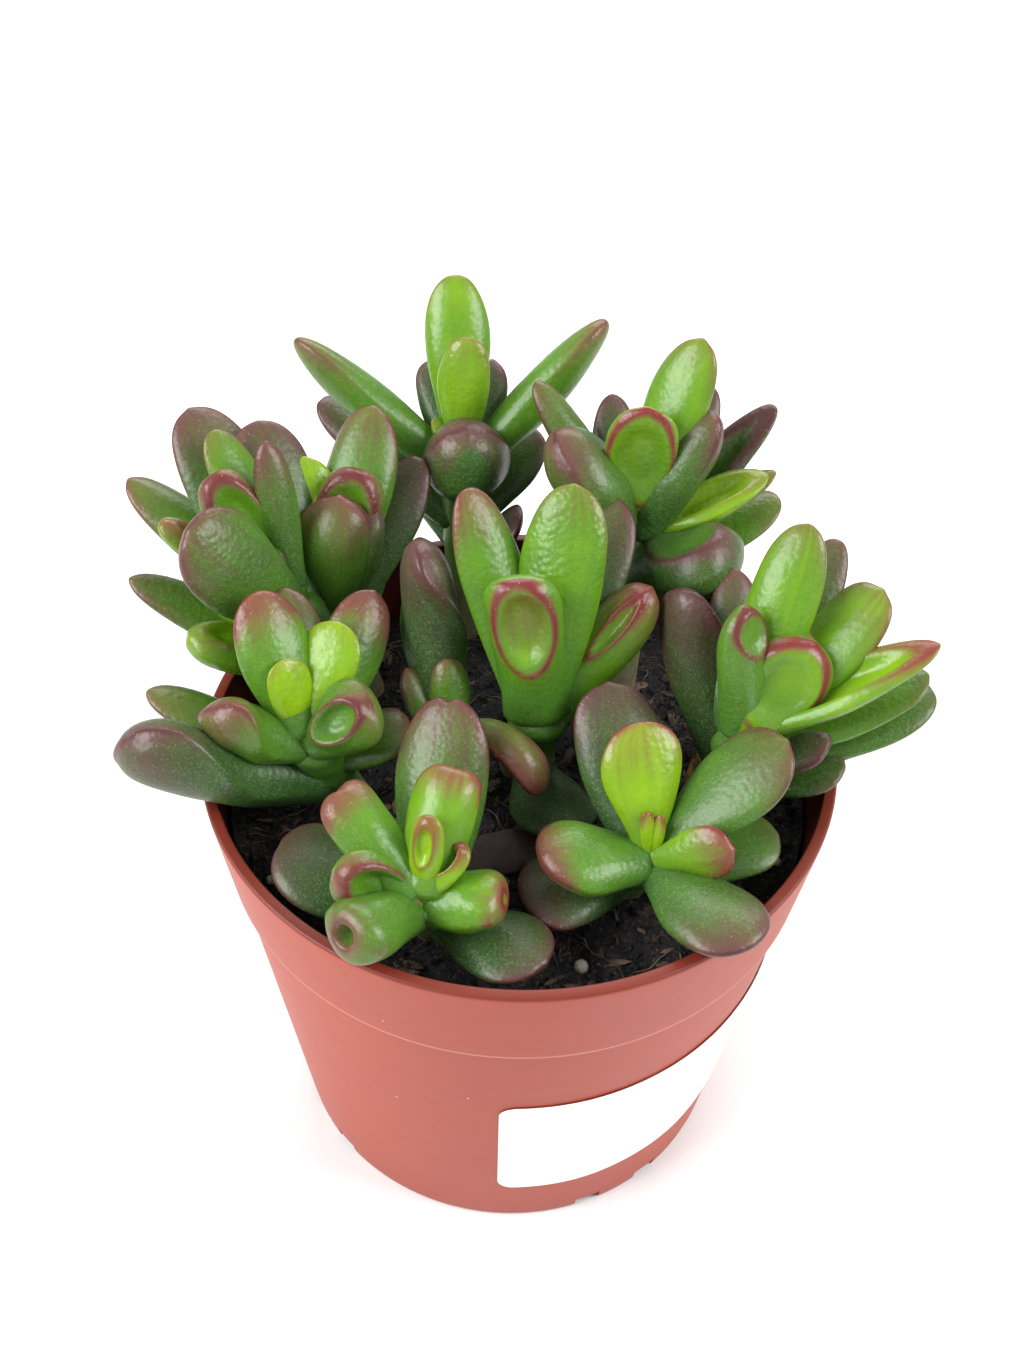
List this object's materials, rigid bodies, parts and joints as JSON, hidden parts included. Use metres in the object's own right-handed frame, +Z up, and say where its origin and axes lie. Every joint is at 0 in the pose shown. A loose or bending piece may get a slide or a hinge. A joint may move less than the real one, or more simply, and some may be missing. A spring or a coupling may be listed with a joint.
{
  "type": "potted succulent",
  "caption": "Leafy jade succulent with plump spoon and trumpet leaves, growing from dark soil in a tapered round nursery pot with a plain white label.",
  "frame": {"origin": "centre of the pot's foot, on the surface the pot stands on", "axes": "+Z up along the pot's axis, -Y towards the viewer of the picture, +X to the viewer's right"},
  "size_m": [0.1309, 0.1198, 0.1293],
  "materials": {
    "pot_plastic": "satin",
    "label_paper": "matte",
    "potting_soil": "rough",
    "bark": "rough",
    "dry_leaf": "matte",
    "succulent_leaf": "waxy"
  },
  "bodies": {
    "root": {"pot": "pot_plastic", "label": "label_paper", "soil": "potting_soil", "bark_piece": "bark", "fallen_leaf": "dry_leaf", "shoot_front_right": "succulent_leaf", "shoot_front_left": "succulent_leaf", "shoot_left_low": "succulent_leaf", "shoot_centre": "succulent_leaf", "shoot_right": "succulent_leaf", "shoot_inner": "succulent_leaf", "shoot_left_inner": "succulent_leaf", "shoot_left": "succulent_leaf", "shoot_back_right": "succulent_leaf", "shoot_back": "succulent_leaf"}
  },
  "joints": []
}
